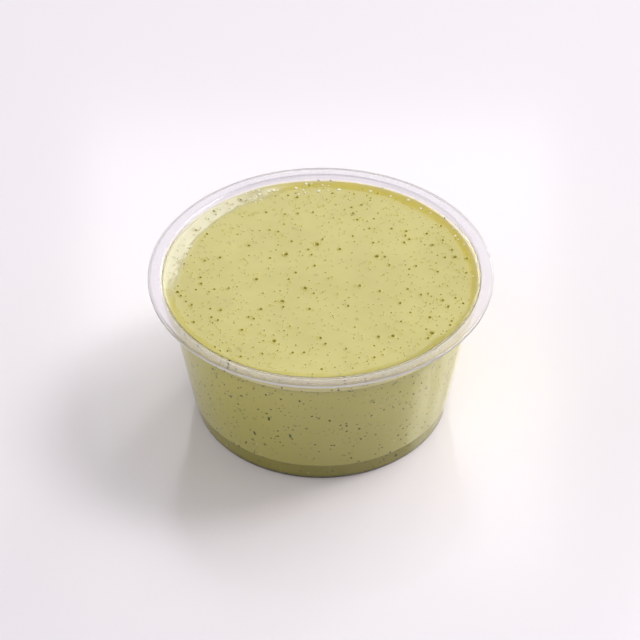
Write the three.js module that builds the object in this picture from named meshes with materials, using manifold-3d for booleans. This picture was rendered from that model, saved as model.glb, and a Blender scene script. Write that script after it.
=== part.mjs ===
// A clear plastic portion cup, filled almost to the brim with a creamy green herb sauce.
// Millimetres, +Z up, origin at the middle of the face that the cup stands on.

import * as THREE from 'three';
import { mergeVertices } from 'three/addons/utils/BufferGeometryUtils.js';
import Module from 'manifold-3d';

// ---- Driving dimensions of the cup ----
const cupHeight = 35.1;        // table to the top of the rim
const wall = 0.55;             // formed sheet, the same all over
const turnSteps = 72;          // flat sides round every turned shape

const rimRadius = 36.85;       // outermost edge of the rim
const rimFlatRadius = 36.2;    // where the rim starts to turn down
const rimDrop = 0.15;          // how far its trimmed edge comes down
const edgeBevel = 0.1;         // bevel under the trimmed edge
const edgeRounding = 0.3;      // rounding over it
const mouthRadius = 33.6;      // inner edge of the rim, at its top
const mouthRounding = 0.9;     // rounding of that edge

const neckDepth = 4.6;         // straight band under the rim, from the rim's top
const neckRadius = 33.75;      // outside of the neck at its lower end
const shoulderDrop = 0.5;      // height of the shoulder below the neck
const wallTopRadius = 32.65;   // outside of the wall under the shoulder
const ledgeHeight = 4.8;       // table to the ledge above the foot
const wallLowRadius = 28.6;    // outside of the wall just above the ledge
const ledgeDrop = 0.45;        // height of the ledge's slope
const footTopRadius = 28.05;   // outside of the foot under the ledge
const footLowRadius = 27.85;   // outside of the foot above its bottom rounding
const footRounding = 0.9;      // rounding between foot and underside
const recessRadius = 23.6;     // raised middle of the underside
const recessDepth = 0.6;       // how far the middle is raised
const recessSlope = 0.8;       // width of the slope round it

// ---- Driving dimensions of the sauce ----
const sauceGap = 0.3;          // clearance between the sauce and the cup
const sauceDepthBelowRim = 1.9;  // the level surface, from the rim's top
const wideRise = 0.3;          // the meniscus: a wide shallow rise towards the wall
const wideReach = 1.8;
const steepRise = 0.3;         // and a steep narrow one at the wall itself
const steepReach = 0.4;
const meniscusSteps = [7, 4, 2.4, 1.3, 0.7, 0.3, 0];  // distances from the sauce's edge

const largestPits = [          // the burst bubbles that show most: x, y and radius
  [-0.8, 11.4, 0.42], [12.1, 7.1, 0.42], [-7.5, 8.0, 0.4], [-8.2, -7.8, 0.36], [-9.8, -20.6, 0.38],
  [22.9, -18.5, 0.44], [14.8, -19.3, 0.38], [22.7, -13.4, 0.34], [-3.4, -3.5, 0.36], [28.9, 6.6, 0.34],
  [-13.8, -0.4, 0.34], [-30.5, -4.5, 0.36], [18.7, 15.7, 0.32], [-12.0, 22.9, 0.3],
];
const pitCount = 64;           // these and the next largest
const pitRadiusRange = [0.22, 0.32];
const pitSpacing = 1.5;        // least distance between two pits
const pitEdgeMargin = 1.5;     // pits stay this far from the sauce's edge
const pitSides = 7;
const pitRings = 4;
const pitSink = 0.1;           // a pit's centre lies this share of its radius under the surface
const pitSeed = 41;

// ---- Small helpers ----
const wasm = await Module();
wasm.setup();

const point = (radius, height) => new THREE.Vector2(radius, height);

// Points on a quarter round between two points, bulging towards the corner.
function quarterRound(start, corner, end, steps) {
  const curve = new THREE.QuadraticBezierCurve(start, corner, end);
  return curve.getPoints(steps);
}

// Turns an outline of (radius, height) points about Z.
function turned(outline) {
  const geometry = new THREE.LatheGeometry(outline, turnSteps);
  geometry.rotateX(Math.PI / 2);
  return geometry;
}

function toSolid(geometry) {
  const bare = geometry.clone();
  bare.deleteAttribute('normal');
  bare.deleteAttribute('uv');
  const merged = mergeVertices(bare, 1e-4);
  const mesh = new wasm.Mesh({
    numProp: 3,
    vertProperties: new Float32Array(merged.attributes.position.array),
    triVerts: new Uint32Array(merged.index.array),
  });
  mesh.merge();
  return new wasm.Manifold(mesh);
}

function toGeometry(solid) {
  const { vertProperties, triVerts } = solid.getMesh();
  const geometry = new THREE.BufferGeometry();
  geometry.setAttribute('position', new THREE.BufferAttribute(vertProperties, 3));
  geometry.setIndex(new THREE.BufferAttribute(triVerts, 1));
  geometry.computeVertexNormals();
  return geometry;
}

// A repeatable source of random numbers from 0 to 1.
function randomFrom(seed) {
  let state = seed;
  return () => {
    state = (state * 1664525 + 1013904223) % 4294967296;
    return state / 4294967296;
  };
}

const between = ([low, high], share) => low + (high - low) * share;

// ---- The cup ----
const neckFoot = cupHeight - neckDepth;
const shoulderFoot = neckFoot - shoulderDrop;
const ledgeFoot = ledgeHeight - ledgeDrop;
const flangeUnder = cupHeight - wall;
const mouthFillet = mouthRounding - wall;

function cupOutside() {
  return [
    point(0, recessDepth),
    point(recessRadius, recessDepth),
    point(recessRadius + recessSlope, 0),
    ...quarterRound(point(footLowRadius - footRounding, 0), point(footLowRadius, 0),
      point(footLowRadius, footRounding), 3),
    point(footTopRadius, ledgeFoot),
    point(wallLowRadius, ledgeHeight),
    point(wallTopRadius, shoulderFoot),
    point(neckRadius, neckFoot),
    ...quarterRound(point(mouthRadius + wall, flangeUnder - mouthFillet),
      point(mouthRadius + wall, flangeUnder),
      point(mouthRadius + wall + mouthFillet, flangeUnder), 2),
    point(rimFlatRadius, flangeUnder),
    point(rimRadius - edgeBevel, flangeUnder - rimDrop),
    point(rimRadius, flangeUnder - rimDrop + edgeBevel),
  ];
}

function cupInside() {
  const floorTop = recessDepth + wall;
  const footInside = footLowRadius - wall;
  return [
    ...quarterRound(point(rimRadius, cupHeight - edgeRounding), point(rimRadius, cupHeight - rimDrop / 2),
      point(rimFlatRadius, cupHeight), 4),
    ...quarterRound(point(mouthRadius + mouthRounding, cupHeight), point(mouthRadius, cupHeight),
      point(mouthRadius, cupHeight - mouthRounding), 4),
    point(neckRadius - wall, neckFoot),
    point(wallTopRadius - wall, shoulderFoot),
    point(wallLowRadius - wall, ledgeHeight),
    point(footTopRadius - wall, ledgeFoot),
    ...quarterRound(point(footInside, wall + footRounding), point(footInside, wall),
      point(footInside - footRounding, wall), 3),
    point(recessRadius + recessSlope - wall, wall),
    point(recessRadius - wall, floorTop),
    point(0, floorTop),
  ];
}

function makeCup() {
  const outline = [...cupOutside(), ...cupInside()];
  const material = new THREE.MeshStandardMaterial({
    color: 0xf2f0f2, roughness: 0.06, metalness: 0, transparent: true, opacity: 0.3,
  });
  const cup = new THREE.Mesh(toGeometry(toSolid(turned(outline))), material);
  cup.name = 'cup';
  return cup;
}

// ---- The sauce ----
const sauceLevel = cupHeight - sauceDepthBelowRim;
const sauceTopRadius = mouthRadius - sauceGap - 0.1;

function surfaceHeight(radius) {
  const toEdge = sauceTopRadius - radius;
  const wide = wideRise * Math.exp(-toEdge / wideReach);
  const steep = steepRise * Math.exp(-toEdge / steepReach);
  return sauceLevel + wide + steep;
}

function sauceBody() {
  const inset = wall + sauceGap;
  const floor = wall + sauceGap;
  const footInside = footLowRadius - inset;
  const outline = [
    point(0, recessDepth + floor),
    point(recessRadius - inset, recessDepth + floor),
    point(recessRadius + recessSlope - inset, floor),
    ...quarterRound(point(footInside - footRounding, floor), point(footInside, floor),
      point(footInside, floor + footRounding), 3),
    point(footTopRadius - inset, ledgeFoot),
    point(wallLowRadius - inset, ledgeHeight),
    point(wallTopRadius - inset, shoulderFoot),
    point(neckRadius - inset, neckFoot),
    ...meniscusSteps.slice().reverse().map((toEdge) => {
      const radius = sauceTopRadius - toEdge;
      return point(radius, surfaceHeight(radius));
    }),
    point(0, sauceLevel),
  ];
  return toSolid(turned(outline));
}

// Where the pits lie: those that show most, then others, a little closer together at the wall.
function pitPlaces() {
  const random = randomFrom(pitSeed);
  const reach = sauceTopRadius - pitEdgeMargin;
  const places = [...largestPits];
  while (places.length < pitCount) {
    const radius = reach * Math.pow(random(), 0.42);
    const angle = 2 * Math.PI * random();
    const size = between(pitRadiusRange, Math.pow(random(), 2.2));
    const x = radius * Math.cos(angle);
    const y = radius * Math.sin(angle);
    const clear = places.every(([otherX, otherY]) => Math.hypot(otherX - x, otherY - y) > pitSpacing);
    if (clear) places.push([x, y, size]);
  }
  return places;
}

function makeSauce() {
  const pits = pitPlaces().map(([x, y, size]) => {
    const bubble = new THREE.SphereGeometry(size, pitSides, pitRings);
    bubble.rotateX(Math.PI / 2);
    bubble.translate(x, y, surfaceHeight(Math.hypot(x, y)) - size * pitSink);
    return toSolid(bubble);
  });
  const solid = pits.reduce((body, pit) => body.subtract(pit), sauceBody());
  const material = new THREE.MeshStandardMaterial({ color: 0xcdc382, roughness: 0.3, metalness: 0 });
  const sauce = new THREE.Mesh(toGeometry(solid), material);
  sauce.name = 'sauce';
  return sauce;
}

const filledCup = new THREE.Group();
filledCup.add(makeCup(), makeSauce());

export default filledCup;
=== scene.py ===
import math
import random

import bpy
import numpy as np
from mathutils import Matrix, Vector
from mathutils.geometry import delaunay_2d_cdt


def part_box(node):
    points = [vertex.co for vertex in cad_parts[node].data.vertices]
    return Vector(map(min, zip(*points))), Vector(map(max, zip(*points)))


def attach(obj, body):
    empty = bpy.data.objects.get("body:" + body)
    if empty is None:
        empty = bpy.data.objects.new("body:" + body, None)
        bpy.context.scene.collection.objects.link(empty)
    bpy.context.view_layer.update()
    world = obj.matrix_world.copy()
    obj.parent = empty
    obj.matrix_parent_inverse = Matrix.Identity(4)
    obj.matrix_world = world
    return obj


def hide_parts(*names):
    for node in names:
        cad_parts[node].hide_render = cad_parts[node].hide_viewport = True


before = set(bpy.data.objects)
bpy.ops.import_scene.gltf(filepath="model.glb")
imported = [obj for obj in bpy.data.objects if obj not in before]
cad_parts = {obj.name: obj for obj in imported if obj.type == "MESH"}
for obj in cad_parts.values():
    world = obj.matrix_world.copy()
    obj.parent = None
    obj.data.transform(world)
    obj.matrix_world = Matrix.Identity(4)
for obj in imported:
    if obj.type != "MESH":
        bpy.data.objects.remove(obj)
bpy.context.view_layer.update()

# A clear portion cup, filled almost to the brim with a creamy green herb sauce.
# Shapes are worked out in millimetres, z up from the table, and go to metres as each mesh is made.
mm = 0.001
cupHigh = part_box("cup")[1]
cupHeight = cupHigh.z / mm
rimRadius = cupHigh.x / mm
print("frame loaded, cup", round(2 * rimRadius, 2), "mm across and", round(cupHeight, 2), "mm high")


def linear(hexColour):
    channels = [int(hexColour[i:i + 2], 16) / 255 for i in (1, 3, 5)]
    return [c / 12.92 if c <= 0.04045 else ((c + 0.055) / 1.055) ** 2.4 for c in channels] + [1.0]


def add(tree, kind, inputs=None, **settings):  # one node with its settings, values and links
    node = tree.nodes.new(kind)
    for name, value in settings.items():
        setattr(node, name, value)
    for name, value in (inputs or {}).items():
        if isinstance(value, bpy.types.NodeSocket):
            tree.links.new(value, node.inputs[name])
        else:
            node.inputs[name].default_value = value
    return node


def newMaterial(name):
    material = bpy.data.materials.new(name)
    material.use_nodes = True
    material.node_tree.nodes.clear()
    return material, material.node_tree


def newObject(name, mesh, materials=(), smooth=True):
    piece = bpy.data.objects.new(name, mesh)
    bpy.context.scene.collection.objects.link(piece)
    for material in materials:
        mesh.materials.append(material)
    mesh.polygons.foreach_set("use_smooth", [smooth] * len(mesh.polygons))
    mesh.update()
    return piece


def bearingFrom(x, y, degrees):
    # how far round from a bearing in degrees a point lies, in radians from -pi to pi
    return (np.arctan2(y, x) - math.radians(degrees) + math.pi) % (2 * math.pi) - math.pi


def rounded(corners, steps=6):
    # corners are (radius, height, rounding); each rounding becomes an arc between its two straight runs
    points = []
    for i, (r, z, bend) in enumerate(corners):
        here = Vector((r, z))
        if not bend or i in (0, len(corners) - 1):
            points.append(here)
            continue
        before = (Vector(corners[i - 1][:2]) - here).normalized()
        after = (Vector(corners[i + 1][:2]) - here).normalized()
        half = before.angle(after) / 2
        reach = bend / math.tan(half)
        middle = here + (before + after).normalized() * bend / math.sin(half)
        start, end = here + before * reach, here + after * reach
        sweep = (start - middle).angle(end - middle)
        for k in range(steps + 1):
            t = k / steps
            a = math.sin((1 - t) * sweep) / math.sin(sweep)
            b = math.sin(t * sweep) / math.sin(sweep)
            points.append(middle + (start - middle) * a + (end - middle) * b)
    return points


def supported(points, close=0.12, far=2.5):
    # extra points on the straight runs, so that smooth shading stays in the roundings
    out = [points[0]]
    for p, q in zip(points, points[1:]):
        run = (q - p).length
        if run > 4 * close:
            parts = max(1, round(run / far))
            between = [close + (run - 2 * close) * k / parts for k in range(1, parts)]
            out += [p + (q - p) * s / run for s in [close] + between + [run - close]]
        out.append(q)
    return out


def turnedMesh(name, outline, turns, shape):
    # outline runs from axis to axis; shape may move a ring of points
    angles = np.linspace(0, 2 * math.pi, turns, endpoint=False)
    verts, faces, rings = [], [], []
    for p in outline:
        if p.x < 1e-6:
            rings.append([len(verts)])
            verts.append((0, 0, p.y * mm))
            continue
        rings.append(range(len(verts), len(verts) + turns))
        radii, heights = shape(p.x, p.y, angles)
        ring = np.stack([radii * np.cos(angles), radii * np.sin(angles), heights], 1) * mm
        verts += ring.tolist()
    for low, high in zip(rings, rings[1:]):
        for k in range(turns):
            n = (k + 1) % turns
            if len(low) == 1:
                faces.append((low[0], high[n], high[k]))
            elif len(high) == 1:
                faces.append((low[k], low[n], high[0]))
            else:
                faces.append((low[k], low[n], high[n], high[k]))
    mesh = bpy.data.meshes.new(name)
    mesh.from_pydata(verts, [], faces)
    return mesh


# The cup is one sheet of clear plastic, formed over a mould and trimmed round its rim.
cup = {
    "wall": 0.55,
    "rimFlat": 36.2, "rimDrop": 0.15,         # where the rim turns down, and how far its edge comes
    "edgeTop": 0.16, "edgeDraft": 0.03,       # where that edge starts below the rim's top, and its slant
    "cutEdge": 0.22,                          # width of the edge that the trimming leaves matt
    "mouth": 33.6, "mouthRounding": 0.9,
    "rimSkin": (33.7, 1.15),                  # the rim's own finish: from this radius, and this far down
    "neckDepth": 4.6, "neckLow": 33.75,       # the straight band that a lid grips
    "shoulderDrop": 0.5, "wallTop": 32.65,
    "ledge": 4.8, "wallLow": 28.6,
    "ledgeDrop": 0.45, "footTop": 28.05,
    "footLow": 27.8, "footRounding": 1.2,
    "recess": 23.6, "recessDepth": 0.6, "recessSlope": 0.8,
    "slopeInset": 0.9,                        # share of the sheet's thickness that the inside moves in there
    "turns": 512, "bendSteps": 5,
    # small marks that the trimming leaves on the rim; the width is in radians
    "nicks": 9, "nickDepth": 0.09, "nickWidth": 0.011, "nickFrom": 36.1, "nickFade": 0.5, "nickDroop": 0.6,
}


def cupInsideCorners(inset):
    # the inside of the sheet, moved inwards by inset, from the neck down to the middle of the floor
    c, w = cup, cup["wall"] + inset
    neckFoot = cupHeight - c["neckDepth"]
    return [
        (c["neckLow"] - w, neckFoot, 0.35),
        (c["wallTop"] - w, neckFoot - c["shoulderDrop"], 0.3),
        (c["wallLow"] - w, c["ledge"], 0.25),
        (c["footTop"] - w, c["ledge"] - c["ledgeDrop"], 0.25),
        (c["footLow"] - w, w, c["footRounding"]),
        (c["recess"] + c["recessSlope"] - w * c["slopeInset"], w, 0.3),
        (c["recess"] - w * c["slopeInset"], c["recessDepth"] + w, 0.3),
        (0, c["recessDepth"] + w, 0),
    ]


def cupOutline():
    c, w = cup, cup["wall"]
    neckFoot = cupHeight - c["neckDepth"]
    under = cupHeight - w
    outside = [
        (0, c["recessDepth"], 0),
        (c["recess"], c["recessDepth"], 0.3),
        (c["recess"] + c["recessSlope"], 0, 0.3),
        (c["footLow"], 0, c["footRounding"]),
        (c["footTop"], c["ledge"] - c["ledgeDrop"], 0.2),
        (c["wallLow"], c["ledge"], 0.2),
        (c["wallTop"], neckFoot - c["shoulderDrop"], 0.25),
        (c["neckLow"], neckFoot, 0.22),
        (c["mouth"] + w, under, c["mouthRounding"] - w),
        (c["rimFlat"], under, 0.3),
        (rimRadius - c["edgeDraft"], under - c["rimDrop"], 0.07),
        (rimRadius, cupHeight - c["edgeTop"], 0.2),
        (c["rimFlat"], cupHeight, 0.6),
        (c["mouth"], cupHeight, c["mouthRounding"]),
    ]
    return supported(rounded(outside + cupInsideCorners(0), c["bendSteps"]))


def makeCup(wallMaterial, rimMaterial, edgeMaterial):
    c = cup
    dice = random.Random(5)
    nicks = [(dice.uniform(0, 2 * math.pi), dice.uniform(0.5, 1.0)) for _ in range(c["nicks"])]

    def marks(radius, height, angles):
        nearEdge = max(0.0, min(1.0, (radius - c["nickFrom"]) / c["nickFade"]))
        radii = np.full(len(angles), radius)
        heights = np.full(len(angles), height)
        for at, strength in nicks:
            off = (angles - at + math.pi) % (2 * math.pi) - math.pi
            dent = strength * nearEdge * c["nickDepth"] * np.exp(-(off / c["nickWidth"]) ** 2)
            radii -= dent
            heights -= dent * c["nickDroop"]
        return radii, heights

    mesh = turnedMesh("portionCup", cupOutline(), c["turns"], marks)
    piece = newObject("portionCup", mesh, [wallMaterial, rimMaterial, edgeMaterial])
    rimFrom, rimDepth = c["rimSkin"]
    for face in mesh.polygons:
        radius = face.center.xy.length / mm
        onRim = radius > rimFrom and face.center.z / mm > cupHeight - rimDepth
        face.material_index = int(onRim) + int(radius > rimRadius - c["cutEdge"])
    mesh.update()
    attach(piece, "root")
    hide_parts("cup")
    return piece


# The sauce is a cream with fine burst bubbles, and it wets the wall all round.
sauce = {
    "below": 1.9,                 # level surface, from the rim's top
    "ramp": 0.24,                 # slope of the edge where the sauce has crept up towards the wall
    "rampWidth": 1.8, "rampSoft": 0.5,     # how far in that reaches, and how softly it starts
    "smearWidth": 3.4, "smearSoft": 0.11,  # the same where it has run up further, and dried sharper
    "smearAt": 148, "smearSpread": 43,     # bearing of that stretch from +X, and its half width, degrees
    "rampUneven": [(3, 0.14), (7, 0.15), (12, 0.13), (23, 0.07), (41, 0.03)],  # waves round, height
    "film": 0.28, "filmReach": 0.16,       # the film that it leaves on the wall itself
    "smearFilmLost": 0.8,         # share of the film that is missing along the smeared stretch
    "thinReach": 0.26,            # how far in that film looks pale
    "backlitGoldAt": 50, "backlitGoldSpread": 62,          # bearing and half width of the stretch with a painted golden backlight
    "intoWall": 0.08,             # the sauce reaches this far into the sheet, so that no air shows
    "turns": 288,
    "edgeSteps": [0, 0.07, 0.15, 0.26, 0.4, 0.6, 0.85, 1.15, 1.45, 1.75, 2.05, 2.35, 2.65, 2.95, 3.25,
                  3.55, 3.9, 4.4, 5.1, 6.0],
    "grid": 0.95, "gridRow": 0.866, "gridStir": 0.12,     # the level part's points, stirred a little
    "waves": [(9.0, 0.010), (4.3, 0.006), (2.1, 0.003)],  # length and height of the slow unevenness
    "wavesFrom": 2.0,             # it fades out over this distance from the wall
    "seed": 41,
    "pits": 1250, "pitSmall": 0.12, "pitLarge": 0.30, "pitSkew": 4.2,
    "pitGap": 1.7, "pitMargin": 0.9, "pitCrowd": 0.40,    # below 0.5 they are closer together at the wall
    "pitClear": 2.8,              # no other point of the surface comes nearer, in radii
}

# the bursts that show most in the surface: x, y, radius
largestPits = [
    (-0.8, 11.4, 0.42), (12.1, 7.1, 0.42), (-7.5, 8.0, 0.40), (-8.2, -7.8, 0.36), (-9.8, -20.6, 0.38),
    (22.9, -18.5, 0.44), (14.8, -19.3, 0.38), (22.7, -13.4, 0.34), (-3.4, -3.5, 0.36), (28.9, 6.6, 0.34),
    (-13.8, -0.4, 0.34), (-30.5, -4.5, 0.36), (18.7, 15.7, 0.32), (-12.0, 22.9, 0.3),
]


def contact():
    # where the sauce's surface meets the wall: below the mouth, a little inside the sheet
    c = cup
    slope = (c["mouth"] - (c["neckLow"] - c["wall"])) / c["neckDepth"]
    height = cupHeight - sauce["below"] + sauce["ramp"] * sauce["rampWidth"] + sauce["film"]
    return c["mouth"] - slope * (cupHeight - height) + sauce["intoWall"], height


def wettedOutline(far):
    return supported(rounded([(*contact(), 0)] + cupInsideCorners(-sauce["intoWall"])), far=far)


def slowWaves(x, y):
    total = 0.0
    for k, (length, height) in enumerate(sauce["waves"]):
        for turn in (0.3, 1.35, 2.5):
            a = turn + 0.8 * k
            along = x * math.cos(a) + y * math.sin(a)
            total = total + height * np.sin(2 * math.pi * along / length + 1.7 * turn + k)
    return total


def smearShare(x, y):
    off = bearingFrom(x, y, sauce["smearAt"])
    return np.exp(-(off / math.radians(sauce["smearSpread"])) ** 8)


# painted light: how much of the golden backlight tint a point on the edge gets, by its bearing
def backlitGoldShare(x, y):
    off = bearingFrom(x, y, sauce["backlitGoldAt"])
    return np.exp(-(off / math.radians(sauce["backlitGoldSpread"])) ** 4)


def intoRamp(x, y, toEdge):
    # how far outside the ramp's start a point is, and how softly the ramp starts there
    s, bearing, smear = sauce, np.arctan2(y, x), smearShare(x, y)
    width = s["rampWidth"] + (s["smearWidth"] - s["rampWidth"]) * smear
    for waves, height in s["rampUneven"]:
        width = width + height * np.sin(waves * bearing + 1.9 * waves)
    return width - toEdge, s["rampSoft"] + (s["smearSoft"] - s["rampSoft"]) * smear


def surfaceHeight(x, y, edge):
    s = sauce
    toEdge = np.maximum(0.0, edge - np.hypot(x, y))
    past, soft = intoRamp(x, y, toEdge)
    ramp = s["ramp"] * soft * np.log1p(np.exp(past / soft))
    film = s["film"] * (1 - s["smearFilmLost"] * smearShare(x, y)) * np.exp(-toEdge / s["filmReach"])
    calm = np.clip(toEdge / s["wavesFrom"], 0, 1)
    return cupHeight - s["below"] + ramp + film + slowWaves(x, y) * calm


def pitPlaces(edge):
    s = sauce
    dice = random.Random(s["seed"])
    places = list(largestPits)
    cell = 1.5                    # places are kept by square cells, so that only near ones are compared
    cells = {}

    def near(x, y):
        i, j = int(x // cell), int(y // cell)
        return [p for a in (-1, 0, 1) for b in (-1, 0, 1) for p in cells.get((i + a, j + b), [])]

    for p in places:
        cells.setdefault((int(p[0] // cell), int(p[1] // cell)), []).append(p)
    while len(places) < s["pits"]:
        radius = (edge - s["pitMargin"]) * dice.random() ** s["pitCrowd"]
        angle = dice.uniform(0, 2 * math.pi)
        size = s["pitSmall"] + (s["pitLarge"] - s["pitSmall"]) * dice.random() ** s["pitSkew"]
        x, y = radius * math.cos(angle), radius * math.sin(angle)
        if all(math.hypot(x - p[0], y - p[1]) > (size + p[2]) * s["pitGap"] for p in near(x, y)):
            places.append((x, y, size))
            cells.setdefault((int(x // cell), int(y // cell)), []).append(places[-1])
    return places


def pitRings(size):
    # (distance, height) in radii, from the bottom of the burst bubble up over its soft lip
    if size > 0.24:
        return 14, [(0, -0.9), (0.45, -0.82), (0.75, -0.58), (0.93, -0.26), (1.02, 0.0), (1.2, 0.10),
                    (1.5, 0.20), (1.85, 0.09), (2.2, 0.01), (2.5, 0.0)]
    return 8, [(0, -0.7), (0.6, -0.5), (0.92, -0.16), (1.1, 0.03), (1.4, 0.08), (1.9, 0.0)]


def pitPoints(x, y, size):
    # each pit leans, is longer one way and has a lip of its own, by a rule from its place
    sides, rings = pitRings(size)
    lean = (x * 12.9898 + y * 78.233) % math.pi
    wide = 1.0 + 0.25 * ((x * 3.7 + y * 1.9) % 1.0)
    lip = 0.3 + 1.4 * ((x * 5.3 + y * 2.7) % 1.0)
    # painted shade: each pit is painted darker inside, more so nearer its bottom and the larger the pit
    dark = min(1.0, (size / 0.34) ** 1.3)
    for distance, height in rings:
        depth = max(0.0, min(1.0, -height / 0.6))
        rise = height * size * (lip if height > 0 else 1.0)
        for k in range(sides if distance else 1):
            a = 2 * math.pi * k / sides
            u, v = distance * size * math.cos(a) * wide, distance * size * math.sin(a)
            yield (x + u * math.cos(lean) - v * math.sin(lean),
                   y + u * math.sin(lean) + v * math.cos(lean), rise, depth * dark)


def levelPoints(edge):
    # rings close together at the wall, then a triangular grid: x, y, rise, and how much painted shade a pit
    # gets there
    s = sauce
    for row, step in enumerate(s["edgeSteps"]):
        turn = 0.5 * (row % 2)
        count = s["turns"] if step < 3 else s["turns"] // 2
        for k in range(count):
            a = 2 * math.pi * (k + turn) / count
            yield (edge - step) * math.cos(a), (edge - step) * math.sin(a), 0.0, 0.0
    reach = edge - s["edgeSteps"][-1] - 0.7 * s["grid"]
    rows = int(reach / s["grid"] / s["gridRow"]) + 1
    stir = s["gridStir"]
    dice = random.Random(s["seed"] + 1)
    for j in range(-rows, rows + 1):
        for i in range(-rows, rows + 1):
            x = (i + 0.5 * (j % 2) + dice.uniform(-stir, stir)) * s["grid"]
            y = (j * s["gridRow"] + dice.uniform(-stir, stir)) * s["grid"]
            if math.hypot(x, y) < reach:
                yield x, y, 0.0, 0.0


def makeSauceTop():
    s = sauce
    edge, _ = contact()
    places = pitPlaces(edge)
    level = np.array(list(levelPoints(edge)))
    keep = np.ones(len(level), bool)
    for x, y, size in places:
        keep &= np.hypot(level[:, 0] - x, level[:, 1] - y) > s["pitClear"] * size
    keep[:s["turns"]] = True          # the outermost ring joins the side
    pitted = np.array([p for place in places for p in pitPoints(*place)])
    x, y, rise, depth = np.concatenate([level[keep], pitted]).T
    verts, _, faces, _, _, _ = delaunay_2d_cdt([Vector(p) for p in zip(x, y)], [], [], 0, 1e-7)
    print("sauce surface:", len(verts), "points,", len(faces), "faces,", len(places), "pits")
    x, y = np.array(verts).T
    toEdge = np.maximum(0.0, edge - np.hypot(x, y))
    past, soft = intoRamp(x, y, toEdge)
    onRamp = 1 / (1 + np.exp(-past / soft))
    # masks for the top's colour: painted shade in the pits, a thin pale film at the wall, a painted pale
    # reflection where the cream has run up, and a painted golden backlight along the edge
    values = {"pitShade": depth, "thin": np.exp(-toEdge / s["thinReach"]),
              "runUpSheen": onRamp * smearShare(x, y), "backlitGold": onRamp * backlitGoldShare(x, y)}
    return np.stack([x, y, surfaceHeight(x, y, edge) + rise], 1), [tuple(f) for f in faces], values


def makeSauce(topMaterial, wetMaterial):
    turns = sauce["turns"]
    top, faces, values = makeSauceTop()
    verts = top.tolist()
    wetFrom = len(faces)
    ring = list(range(turns))
    for p in wettedOutline(1.6)[1:]:
        if p.x < 1e-6:
            middle = len(verts)
            verts.append((0, 0, p.y))
            faces += [(ring[k], middle, ring[(k + 1) % turns]) for k in range(turns)]
            continue
        lower = list(range(len(verts), len(verts) + turns))
        for k in range(turns):
            a = 2 * math.pi * k / turns
            verts.append((p.x * math.cos(a), p.x * math.sin(a), p.y))
        for k in range(turns):
            n = (k + 1) % turns
            faces.append((ring[k], lower[k], lower[n], ring[n]))
        ring = lower
    mesh = bpy.data.meshes.new("herbSauce")
    mesh.from_pydata([(x * mm, y * mm, z * mm) for x, y, z in verts], [], faces)
    for name, value in values.items():
        whole = np.concatenate([value, np.zeros(len(verts) - len(value))]).astype("f")
        mesh.attributes.new(name, "FLOAT", "POINT").data.foreach_set("value", whole)
    piece = newObject("herbSauce", mesh, [topMaterial, wetMaterial])
    slots = np.zeros(len(faces), "i")
    slots[wetFrom:] = 1
    mesh.polygons.foreach_set("material_index", slots)
    mesh.update()
    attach(piece, "root")
    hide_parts("sauce")
    return piece


# Herb flecks and bubbles, scattered over the sauce by Geometry Nodes. Lengths are in millimetres, and
# crowd is how many lie on each square millimetre at most.
peppering = {
    "spacing": 0.45, "crowd": 0.28, "seed": 3, "smallest": 0.09, "largest": 0.23, "skew": 2.0,
    "longest": 1.5, "flatness": 0.4, "rise": 0.05, "uneven": 0.05}
leafBits = {
    "spacing": 1.3, "crowd": 0.034, "seed": 8, "smallest": 0.12, "largest": 0.34, "skew": 1.8,
    "longest": 2.4, "flatness": 0.16, "rise": 0.04, "uneven": 0.12}
foam = {
    "spacing": 0.8, "crowd": 0.55, "seed": 6, "smallest": 0.2, "largest": 0.42, "skew": 1.4,
    "longest": 1.2, "flatness": 0.35, "rise": 0.0, "uneven": 0.02}
wallBubbles = {
    "spacing": 2.0, "crowd": 0.02, "seed": 21, "smallest": 0.08, "largest": 0.16, "skew": 1.5,
    "longest": 1.3, "flatness": 0.4, "rise": 0.08, "uneven": 0.02}

# where the foam lies along the edge: share, bearing and half width in degrees, and from which radius
foamBands = [(1.0, 102, 22, 30.3), (0.5, 20, 30, 32.2), (0.35, 62, 26, 31.8)]


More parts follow.
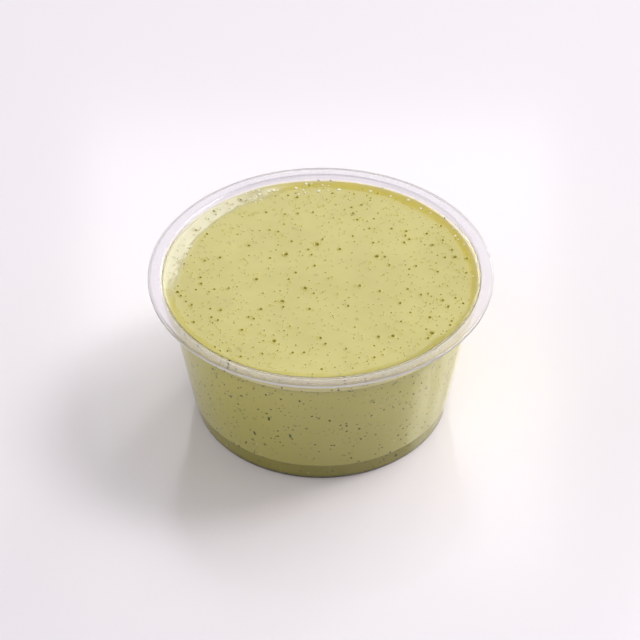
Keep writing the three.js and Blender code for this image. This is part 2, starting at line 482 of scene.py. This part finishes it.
def scatterTree():
    tree = bpy.data.node_groups.new("scatterBits", "GeometryNodeTree")
    face = tree.interface
    face.new_socket("surface", in_out="INPUT", socket_type="NodeSocketGeometry")
    for name in peppering:
        kind = "NodeSocketInt" if name == "seed" else "NodeSocketFloat"
        face.new_socket(name, in_out="INPUT", socket_type=kind)
    face.new_socket("finish", in_out="INPUT", socket_type="NodeSocketMaterial")
    face.new_socket("bits", in_out="OUTPUT", socket_type="NodeSocketGeometry")
    given = add(tree, "NodeGroupInput").outputs

    # points on the surface, no nearer to each other than the spacing
    share = add(tree, "GeometryNodeInputNamedAttribute", {"Name": "share"}, data_type="FLOAT")
    apart = add(tree, "ShaderNodeMath", {0: given["spacing"], 1: mm}, operation="MULTIPLY")
    crowd = add(tree, "ShaderNodeMath", {0: given["crowd"], 1: 1 / mm ** 2}, operation="MULTIPLY")
    points = add(tree, "GeometryNodeDistributePointsOnFaces", {
        "Mesh": given["surface"], "Distance Min": apart.outputs[0], "Density Max": crowd.outputs[0],
        "Density Factor": share.outputs["Attribute"], "Seed": given["seed"]}, distribute_method="POISSON")

    # sizes: most are small, and each is longer one way and flat
    luck = add(tree, "FunctionNodeRandomValue", {2: 0.0, 3: 1.0, "Seed": given["seed"]})
    skewed = add(tree, "ShaderNodeMath", {0: luck.outputs[1], 1: given["skew"]}, operation="POWER")
    spread = add(tree, "ShaderNodeMath", {0: given["largest"], 1: given["smallest"]}, operation="SUBTRACT")
    extra = add(tree, "ShaderNodeMath", {0: spread.outputs[0], 1: skewed.outputs[0]}, operation="MULTIPLY")
    radius = add(tree, "ShaderNodeMath", {0: given["smallest"], 1: extra.outputs[0]}, operation="ADD")
    length = add(tree, "FunctionNodeRandomValue", {2: 1.0, 3: given["longest"], "Seed": 51})
    long = add(tree, "ShaderNodeMath", {0: radius.outputs[0], 1: length.outputs[1]}, operation="MULTIPLY")
    thick = add(tree, "ShaderNodeMath", {0: radius.outputs[0], 1: given["flatness"]}, operation="MULTIPLY")
    scale = add(tree, "ShaderNodeCombineXYZ", {
        "X": long.outputs[0], "Y": radius.outputs[0], "Z": thick.outputs[0]})

    # each lies along the surface, turned at random and raised a little from it
    turn = add(tree, "FunctionNodeRandomValue", {2: 0.0, 3: 2 * math.pi, "Seed": 77})
    spin = add(tree, "FunctionNodeAxisAngleToRotation", {"Axis": (0, 0, 1), "Angle": turn.outputs[1]})
    lie = add(tree, "FunctionNodeRotateRotation", {
        "Rotation": points.outputs["Rotation"], "Rotate By": spin.outputs[0]}, rotation_space="LOCAL")
    bead = add(tree, "GeometryNodeMeshIcoSphere", {"Radius": mm, "Subdivisions": 2})
    placed = add(tree, "GeometryNodeInstanceOnPoints", {
        "Points": points.outputs["Points"], "Instance": bead.outputs["Mesh"],
        "Rotation": lie.outputs[0], "Scale": scale.outputs[0]})
    rise = add(tree, "ShaderNodeMath", {0: given["rise"], 1: mm}, operation="MULTIPLY")
    lift = add(tree, "ShaderNodeCombineXYZ", {"Z": rise.outputs[0]})
    lifted = add(tree, "GeometryNodeTranslateInstances", {
        "Instances": placed.outputs[0], "Translation": lift.outputs[0], "Local Space": True})
    solid = add(tree, "GeometryNodeRealizeInstances", {"Geometry": lifted.outputs[0]})

    # crumpled, with dents about a quarter of a millimetre across
    crumple = add(tree, "ShaderNodeTexNoise", {"Scale": 0.9 / (0.25 * mm), "Detail": 1.0})
    centred = add(tree, "ShaderNodeVectorMath", {0: crumple.outputs["Color"], 1: (0.5, 0.5, 0.5)},
                  operation="SUBTRACT")
    uneven = add(tree, "ShaderNodeMath", {0: given["uneven"], 1: 3 * mm}, operation="MULTIPLY")
    pushed = add(tree, "ShaderNodeVectorMath", {0: centred.outputs[0], "Scale": uneven.outputs[0]},
                 operation="SCALE")
    shaped = add(tree, "GeometryNodeSetPosition", {
        "Geometry": solid.outputs[0], "Offset": pushed.outputs[0]})
    finished = add(tree, "GeometryNodeSetMaterial", {
        "Geometry": shaped.outputs[0], "Material": given["finish"]})
    add(tree, "NodeGroupOutput", {"bits": finished.outputs[0]})
    return tree


def ringSurface(name, rings, share, turns=180):
    # an open surface of rings (radius, height rule) that bits are scattered over; share is from 0 to 1
    verts, faces, shares = [], [], []
    for radius, height in rings:
        for k in range(turns):
            a = 2 * math.pi * k / turns
            x, y = radius * math.cos(a), radius * math.sin(a)
            z = float(height(x, y)) if callable(height) else height
            verts.append((x * mm, y * mm, z * mm))
            shares.append(share(radius, math.degrees(a)))
    for j in range(len(rings) - 1):
        for k in range(turns):
            n = (k + 1) % turns
            a, b = j * turns, (j + 1) * turns
            faces.append((a + k, b + k, b + n, a + n))
    mesh = bpy.data.meshes.new(name)
    mesh.from_pydata(verts, [], faces)
    mesh.attributes.new("share", "FLOAT", "POINT").data.foreach_set("value", shares)
    return mesh


def edgeRings():
    edge = contact()[0]
    return [(edge - toEdge, lambda x, y: surfaceHeight(x, y, edge))
            for toEdge in (5, 4, 3.2, 2.6, 2.0, 1.5, 1.0, 0.6, 0.3)]


def sideRings():
    # from the brim down into the rounding of the foot
    inwards = cup["footLow"] - cup["wall"] - 0.95
    return [(p.x, p.y) for p in wettedOutline(2.0) if p.x > inwards]


def foamShare(radius, bearing):
    shares = []
    for share, middle, half, radiusFrom in foamBands:
        off = (bearing - middle + 180) % 360 - 180
        shares.append(share * math.exp(-(off / half) ** 4) * (radius > radiusFrom))
    return max(shares)


def scatter(name, surface, tree, values, material):
    ground = bpy.data.objects.new(name + "Ground", surface)
    bpy.context.scene.collection.objects.link(ground)
    modifier = ground.modifiers.new("scatter", "NODES")
    modifier.node_group = tree
    for socket in tree.interface.items_tree:
        if socket.in_out == "INPUT" and socket.name in values:
            modifier[socket.identifier] = values[socket.name]
        if socket.name == "finish":
            modifier[socket.identifier] = material
    held = ground.evaluated_get(bpy.context.evaluated_depsgraph_get())
    mesh = bpy.data.meshes.new_from_object(held)
    ground.modifiers.remove(modifier)
    bpy.data.objects.remove(ground)
    mesh.name = name
    piece = newObject(name, mesh)
    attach(piece, "root")
    print(name + ":", len(mesh.polygons), "faces")
    return piece


# Clear polypropylene sheet, thermoformed: soft gloss, slightly hazy, and most so in the thick trimmed rim.
def clearSheet(name, coat, roughness, tint, clarity=0.985):
    material, tree = newMaterial(name)
    place = add(tree, "ShaderNodeTexCoord")
    mapped = add(tree, "ShaderNodeMapping", {"Vector": place.outputs["Object"]})
    ripple = add(tree, "ShaderNodeTexNoise", {
        "Vector": mapped.outputs[0], "Scale": 1 / (6.25 * mm), "Detail": 1.0})   # from the mould, 6 mm
    bump = add(tree, "ShaderNodeBump", {
        "Height": ripple.outputs["Fac"], "Strength": 0.03, "Distance": 0.4 * mm})
    body = add(tree, "ShaderNodeBsdfPrincipled", {
        "Base Color": linear(tint), "Roughness": roughness, "IOR": 1.49, "Specular IOR Level": 0.22,
        "Transmission Weight": clarity, "Coat Weight": coat, "Coat Roughness": 0.3,
        "Normal": bump.outputs[0]})
    clear = add(tree, "ShaderNodeBsdfTransparent", {"Color": linear("#f3f2f3")})
    ray = add(tree, "ShaderNodeLightPath")
    lamps = add(tree, "ShaderNodeMixShader", {
        "Fac": ray.outputs["Is Shadow Ray"], 1: body.outputs[0], 2: clear.outputs[0]})
    add(tree, "ShaderNodeOutputMaterial", {"Surface": lamps.outputs[0]})
    return material


# Cream of blended herbs: pale yellow green, faintly mottled by the herbs just under the surface.
def herbedCream(tree, place, light, dark, herbs):
    cloud = add(tree, "ShaderNodeTexNoise", {"Vector": place, "Scale": 1 / (14.286 * mm), "Detail": 3.0})
    mottle = add(tree, "ShaderNodeMapRange", {
        "Value": cloud.outputs["Fac"], "From Min": 0.35, "From Max": 0.7})
    plain = add(tree, "ShaderNodeMix", {
        "Factor": mottle.outputs[0], 6: linear(light), 7: linear(dark)}, data_type="RGBA")
    # one in six cells of 1.6 mm holds a blurred green patch, with a ragged edge
    warp = add(tree, "ShaderNodeTexNoise", {"Vector": place, "Scale": 1 / (1.111 * mm), "Detail": 1.0})
    bent = add(tree, "ShaderNodeVectorMath", {0: warp.outputs["Color"], "Scale": 1.2 * mm},
               operation="SCALE")
    ragged = add(tree, "ShaderNodeVectorMath", {0: place, 1: bent.outputs[0]}, operation="ADD")
    speck = add(tree, "ShaderNodeTexVoronoi", {
        "Vector": ragged.outputs[0], "Scale": 1 / (1.6129 * mm), "Randomness": 1.0})
    hidden = add(tree, "ShaderNodeMapRange", {
        "Value": speck.outputs["Distance"], "From Min": 0.12, "From Max": 0.42,
        "To Min": 1.0, "To Max": 0.0})
    some = add(tree, "ShaderNodeMath", {0: speck.outputs["Color"], 1: 0.84}, operation="GREATER_THAN")
    blurred = add(tree, "ShaderNodeMath", {0: hidden.outputs[0], 1: some.outputs[0]},
                  operation="MULTIPLY")
    softly = add(tree, "ShaderNodeMath", {0: blurred.outputs[0], 1: herbs}, operation="MULTIPLY")
    herbed = add(tree, "ShaderNodeMix", {
        "Factor": softly.outputs[0], 6: plain.outputs[2], 7: linear("#7c8147")}, data_type="RGBA")
    return herbed.outputs[2]


# The cream's open surface: wet and glossy, with painted shade in its pits, and changed along its edge by
# painted light and a thin film.
def creamySauceTop():
    material, tree = newMaterial("creamySauceTop")
    place = add(tree, "ShaderNodeTexCoord")
    mapped = add(tree, "ShaderNodeMapping", {"Vector": place.outputs["Object"]})
    colour = herbedCream(tree, mapped.outputs[0], "#c8be71", "#bfb568", 0.32)
    # painted shade darkens the pits, a painted golden backlight lies along the edge where light from behind
    # comes through the wall, the cream that has run up the wall is painted paler and greyer as a painted
    # reflection of the lamps it mirrors, and at the wall itself there is only a thin pale film
    for name, share, tint in (("pitShade", 0.85, "#a39212"), ("backlitGold", 0.75, "#d8c655"),
                              ("runUpSheen", 0.5, "#cfcabb"), ("thin", 1.0, "#e2dbbc")):
        value = add(tree, "ShaderNodeAttribute", attribute_name=name)
        some = add(tree, "ShaderNodeMath", {0: value.outputs["Fac"], 1: share}, operation="MULTIPLY")
        tinted = add(tree, "ShaderNodeMix", {
            "Factor": some.outputs[0], 6: colour, 7: linear(tint)}, data_type="RGBA")
        colour = tinted.outputs[2]
    body = add(tree, "ShaderNodeBsdfPrincipled", {
        "Base Color": colour, "Roughness": 0.1, "IOR": 1.45, "Subsurface Weight": 0.6,
        "Subsurface Radius": (1.0, 0.9, 0.45), "Subsurface Scale": 0.5 * mm})
    add(tree, "ShaderNodeOutputMaterial", {"Surface": body.outputs[0]})
    return material


# The cream where it wets the wall: no gloss of its own, with painted shade from the brim down to the foot
# and painted light on the neck.
def creamySauceWetted():
    material, tree = newMaterial("creamySauceWetted")
    place = add(tree, "ShaderNodeTexCoord")
    mapped = add(tree, "ShaderNodeMapping", {"Vector": place.outputs["Object"]})
    height = add(tree, "ShaderNodeSeparateXYZ", {"Vector": mapped.outputs[0]}).outputs["Z"]
    # painted shade: light enters from above, so the cream is painted darker and deeper in colour towards the
    # foot, most of all under the ledge
    low = add(tree, "ShaderNodeMapRange", {
        "Value": height, "From Min": 0.0, "From Max": 30 * mm, "To Min": 0.35, "To Max": 0.0})
    under = add(tree, "ShaderNodeMapRange", {
        "Value": height, "From Min": 4.2 * mm, "From Max": 4.9 * mm, "To Min": 0.5, "To Max": 0.0})
    footShade = add(tree, "ShaderNodeMath", {0: low.outputs[0], 1: under.outputs[0]}, operation="ADD")
    # painted light: the neck is painted paler where light comes down through the rim; at the brim only a
    # thin film is left
    neckLight = add(tree, "ShaderNodeMapRange", {
        "Value": height, "From Min": 29.8 * mm, "From Max": 30.6 * mm, "To Min": 0.0, "To Max": 0.45})
    brim = add(tree, "ShaderNodeMapRange", {
        "Value": height, "From Min": 32.6 * mm, "From Max": 33.6 * mm, "To Min": 0.0, "To Max": 0.7})
    colour = herbedCream(tree, mapped.outputs[0], "#dbd578", "#d5d06f", 0.5)
    for share, tint in ((footShade, "#8f8600"), (neckLight, "#f4ecc0"), (brim, "#e8e2cc")):
        tinted = add(tree, "ShaderNodeMix", {
            "Factor": share.outputs[0], 6: colour, 7: linear(tint)}, data_type="RGBA")
        colour = tinted.outputs[2]
    body = add(tree, "ShaderNodeBsdfPrincipled", {
        "Base Color": colour, "Roughness": 0.5, "IOR": 1.05, "Subsurface Weight": 0.6,
        "Subsurface Radius": (1.0, 0.9, 0.45), "Subsurface Scale": 0.5 * mm})
    add(tree, "ShaderNodeOutputMaterial", {"Surface": body.outputs[0]})
    return material


# Dried pepper and bruised leaf, soaked in the cream: dull and dark, each bit a little different.
def driedHerb(name, colour, paler):
    material, tree = newMaterial(name)
    each = add(tree, "ShaderNodeNewGeometry")
    shade = add(tree, "ShaderNodeMix", {
        "Factor": each.outputs["Random Per Island"], 6: linear(colour), 7: linear(paler)},
        data_type="RGBA")
    body = add(tree, "ShaderNodeBsdfPrincipled", {
        "Base Color": shade.outputs[2], "Roughness": 0.6, "IOR": 1.1})
    add(tree, "ShaderNodeOutputMaterial", {"Surface": body.outputs[0]})
    return material


# Fine foam of the same cream: paler than the rest because it is mostly air.
def foamedSauce():
    material, tree = newMaterial("foamedSauce")
    each = add(tree, "ShaderNodeNewGeometry")
    shade = add(tree, "ShaderNodeMix", {
        "Factor": each.outputs["Random Per Island"], 6: linear("#fdf5d2"), 7: linear("#f2e9bd")},
        data_type="RGBA")
    body = add(tree, "ShaderNodeBsdfPrincipled", {
        "Base Color": shade.outputs[2], "Roughness": 0.8, "IOR": 1.15, "Subsurface Weight": 0.8,
        "Subsurface Radius": (1.0, 1.0, 0.9), "Subsurface Scale": 0.4 * mm})
    add(tree, "ShaderNodeOutputMaterial", {"Surface": body.outputs[0]})
    return material


portionCup = makeCup(
    clearSheet("clearFormedWall", coat=0.35, roughness=0.06, tint="#f3f0f4"),
    clearSheet("clearFlatRim", coat=0.0, roughness=0.15, tint="#e9e6ea"),
    clearSheet("clearCutEdge", coat=0.0, roughness=0.35, tint="#cfcacb", clarity=0.6))
print("cup:", len(portionCup.data.polygons), "faces")
herbSauce = makeSauce(creamySauceTop(), creamySauceWetted())
print("sauce:", len(herbSauce.data.polygons), "faces")

bitTree = scatterTree()
sideSurface = ringSurface("sideSurface", sideRings(), lambda radius, bearing: 1.0)
scatter("pepperDots", sideSurface, bitTree, peppering, driedHerb("pepperedHerb", "#453c00", "#7c7520"))
scatter("leafBits", sideSurface, bitTree, leafBits, driedHerb("bruisedLeaf", "#3c4a0c", "#757b2e"))
scatter("wallBubbles", sideSurface, bitTree, wallBubbles, foamedSauce())
foamSurface = ringSurface("foamSurface", edgeRings(), foamShare)
scatter("edgeFoam", foamSurface, bitTree, foam, foamedSauce())


# Pale cast acrylic, polished: it mirrors the foot of the cup softly.
def paleAcrylic():
    material, tree = newMaterial("paleAcrylicFloor")
    body = add(tree, "ShaderNodeBsdfPrincipled", {
        "Base Color": linear("#f2ecf2"), "Roughness": 0.12, "IOR": 1.49})
    add(tree, "ShaderNodeOutputMaterial", {"Surface": body.outputs[0]})
    return material


def makeFloor(side=2.5):
    corners = [(-side, -side, 0), (side, -side, 0), (side, side, 0), (-side, side, 0)]
    mesh = bpy.data.meshes.new("floor")
    mesh.from_pydata(corners, [], [(0, 1, 2, 3)])
    newObject("floor", mesh, [paleAcrylic()], smooth=False)


studio = {
    # azimuth from +Y towards +X and elevation in degrees, width and height in metres, power in watts
    "keySoftbox": (75, 51, 0.50, 0.62, 14.0),
    "sideSoftbox": (50, 48, 0.45, 0.62, 5.2),
    "backSoftbox": (21, 47, 0.24, 1.00, 4.6),
    "backGlow": (32, 25, 0.28, 0.36, 2.2),
    "backPanel": (0, 40, 0.50, 0.48, 1.5),
    "backWall": (40, 14, 1.20, 0.84, 8.0),
    "sideWall": (80, 14, 1.90, 0.84, 15.0),
    "leftWall": (276, 18, 1.90, 1.00, 9.0),
    "frontFill": (196, 44, 1.90, 1.20, 11.0),
    "overhead": (0, 88, 1.40, 1.40, 1.0),
    "distance": 2.0,
    "room": 0.21,
}


def softLight(name, azimuth, elevation, width, height, power):
    a, e = math.radians(azimuth), math.radians(elevation)
    towards = Vector((math.sin(a) * math.cos(e), math.cos(a) * math.cos(e), math.sin(e)))
    light = bpy.data.lights.new(name, "AREA")
    light.shape = "RECTANGLE"
    light.size, light.size_y = width, height
    light.energy = power
    lamp = bpy.data.objects.new(name, light)
    lamp.location = Vector((0, 0, cupHeight * mm)) + towards * studio["distance"]
    lamp.rotation_euler = (-towards).to_track_quat("-Z", "Y").to_euler()
    bpy.context.scene.collection.objects.link(lamp)


def makeLight():
    for name, values in studio.items():
        if isinstance(values, tuple):
            softLight(name, *values)
    world = bpy.data.worlds.new("studio")
    bpy.context.scene.world = world
    world.use_nodes = True
    background = world.node_tree.nodes["Background"]
    background.inputs["Color"].default_value = linear("#ffffff")
    background.inputs["Strength"].default_value = studio["room"]


camera = {
    "focalPixels": 2400, "imagePixels": 640,      # of the photograph's 640 by 640 frame
    "sensor": 36,
    "elevation": 40.34, "roll": -0.46,
    "distance": 520.2, "aimX": -0.24, "aimBelowRim": 13.8,
}


def makeCamera():
    c = camera
    lens = bpy.data.cameras.new("camera")
    lens.sensor_width = c["sensor"]
    lens.lens = c["sensor"] * c["focalPixels"] / c["imagePixels"]
    e = math.radians(c["elevation"])
    aim = Vector((c["aimX"], 0, cupHeight - c["aimBelowRim"])) * mm
    place = aim + Vector((0, -math.cos(e), math.sin(e))) * c["distance"] * mm
    turn = Matrix.Rotation(math.pi / 2 - e, 4, "X") @ Matrix.Rotation(math.radians(c["roll"]), 4, "Z")
    eye = bpy.data.objects.new("camera", lens)
    eye.matrix_world = Matrix.Translation(place) @ turn
    bpy.context.scene.collection.objects.link(eye)
    bpy.context.scene.camera = eye


makeFloor()
makeLight()
makeCamera()
bpy.context.scene.view_settings.view_transform = "Standard"
print("stage, light and camera ready")
